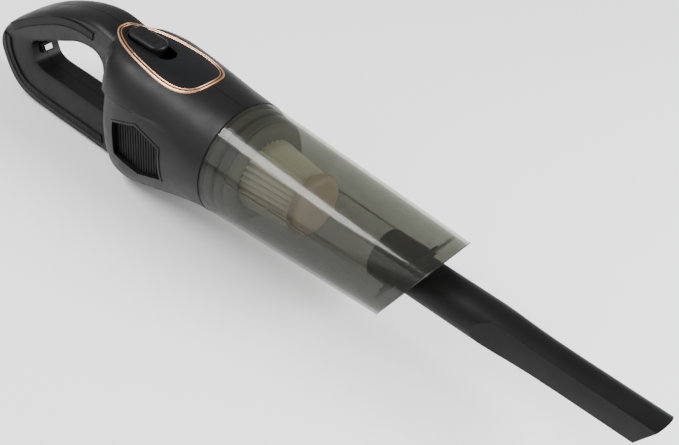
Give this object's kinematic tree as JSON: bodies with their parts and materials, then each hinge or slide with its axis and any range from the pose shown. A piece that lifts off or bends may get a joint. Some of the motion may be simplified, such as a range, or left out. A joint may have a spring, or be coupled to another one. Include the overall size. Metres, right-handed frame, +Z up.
{
  "type": "handheld vacuum cleaner",
  "caption": "Cordless handheld vacuum with a loop handle, slide switch, side exhaust grilles, smoke-clear tapered dust cup, pleated cone filter and long crevice tool.",
  "frame": {"origin": "centre of the bounding box's base, on the surface that the handle's flat underside rests on", "axes": "+X from the handle to the tool's tip, +Y to the vacuum's left, +Z up"},
  "size_m": [0.5698, 0.0826, 0.1116],
  "materials": {
    "satin_black": "satin moulded",
    "trim_black": "matte moulded",
    "panel_black": "semi-gloss",
    "knob_black": "fine texture",
    "copper": "copper-coloured plating",
    "smoke_clear": "smoky transparent plastic",
    "paper": "pleated filter paper",
    "flange_grey": "moulded",
    "cap_brown": "moulded",
    "rubber": "soft",
    "foam": "open-cell foam",
    "steel": "zinc plated",
    "aluminium": "pressed",
    "cell_wrap": "shrink sleeve",
    "board": "solder mask"
  },
  "bodies": {
    "housing": {"housing_left": "satin_black", "housing_right": "satin_black", "grip_trim_upper_left": "trim_black", "grip_trim_upper_right": "trim_black", "grip_trim_lower_left": "trim_black", "grip_trim_lower_right": "trim_black", "exhaust_grille_left": "trim_black", "exhaust_grille_right": "trim_black", "exhaust_foam_left": "foam", "exhaust_foam_right": "foam", "control_panel": "panel_black", "panel_ring_spacer": "panel_black", "panel_ring_outer": "copper", "panel_ring_inner": "copper", "power_switch": "trim_black", "circuit_board": "board", "charge_socket": "trim_black", "charge_contact": "steel", "cup_spigot": "trim_black", "motor_can": "steel", "motor_end_cap": "trim_black", "motor_mount_ring": "rubber", "motor_bulkhead": "trim_black", "fan_shroud": "trim_black", "battery_cell_left": "cell_wrap", "battery_cell_right": "cell_wrap", "battery_stop": "trim_black", "shell_screw_1": "steel", "shell_screw_2": "steel", "shell_screw_3": "steel", "shell_screw_4": "steel"},
    "switch": {"switch_knob": "knob_black", "switch_slider": "knob_black"},
    "rotor": {"motor_shaft": "steel", "impeller": "aluminium"},
    "cup_ring": {"cup_seal": "rubber"},
    "cup": {"dust_cup": "smoke_clear", "inlet_duct": "trim_black"},
    "tool": {"crevice_tool": "trim_black"},
    "filter": {"filter_flange": "flange_grey", "filter_media": "paper", "filter_end_cap": "cap_brown", "filter_cage": "flange_grey"}
  },
  "joints": [
    {"name": "switch_slide", "type": "slide", "parent": "housing", "child": "switch", "axis": [1, 0, 0], "range_m": [0, 0.008]},
    {"name": "fan_spin", "type": "hinge", "parent": "housing", "child": "rotor", "pos_m": [-0.06535, 0, 0.062], "axis": [1, 0, 0], "continuous": true},
    {"name": "cup_twist", "type": "hinge", "parent": "housing", "child": "cup_ring", "pos_m": [-0.03035, 0, 0.062], "axis": [1, 0, 0], "range_deg": [0, 30]},
    {"name": "cup_slide", "type": "slide", "parent": "cup_ring", "child": "cup", "axis": [1, 0, 0], "range_m": [0, 0.09]},
    {"name": "tool_slide", "type": "slide", "parent": "cup", "child": "tool", "axis": [1, 0, 0], "range_m": [0, 0.065]},
    {"name": "filter_slide", "type": "slide", "parent": "housing", "child": "filter", "axis": [1, 0, 0], "range_m": [0, 0.028]}
  ]
}
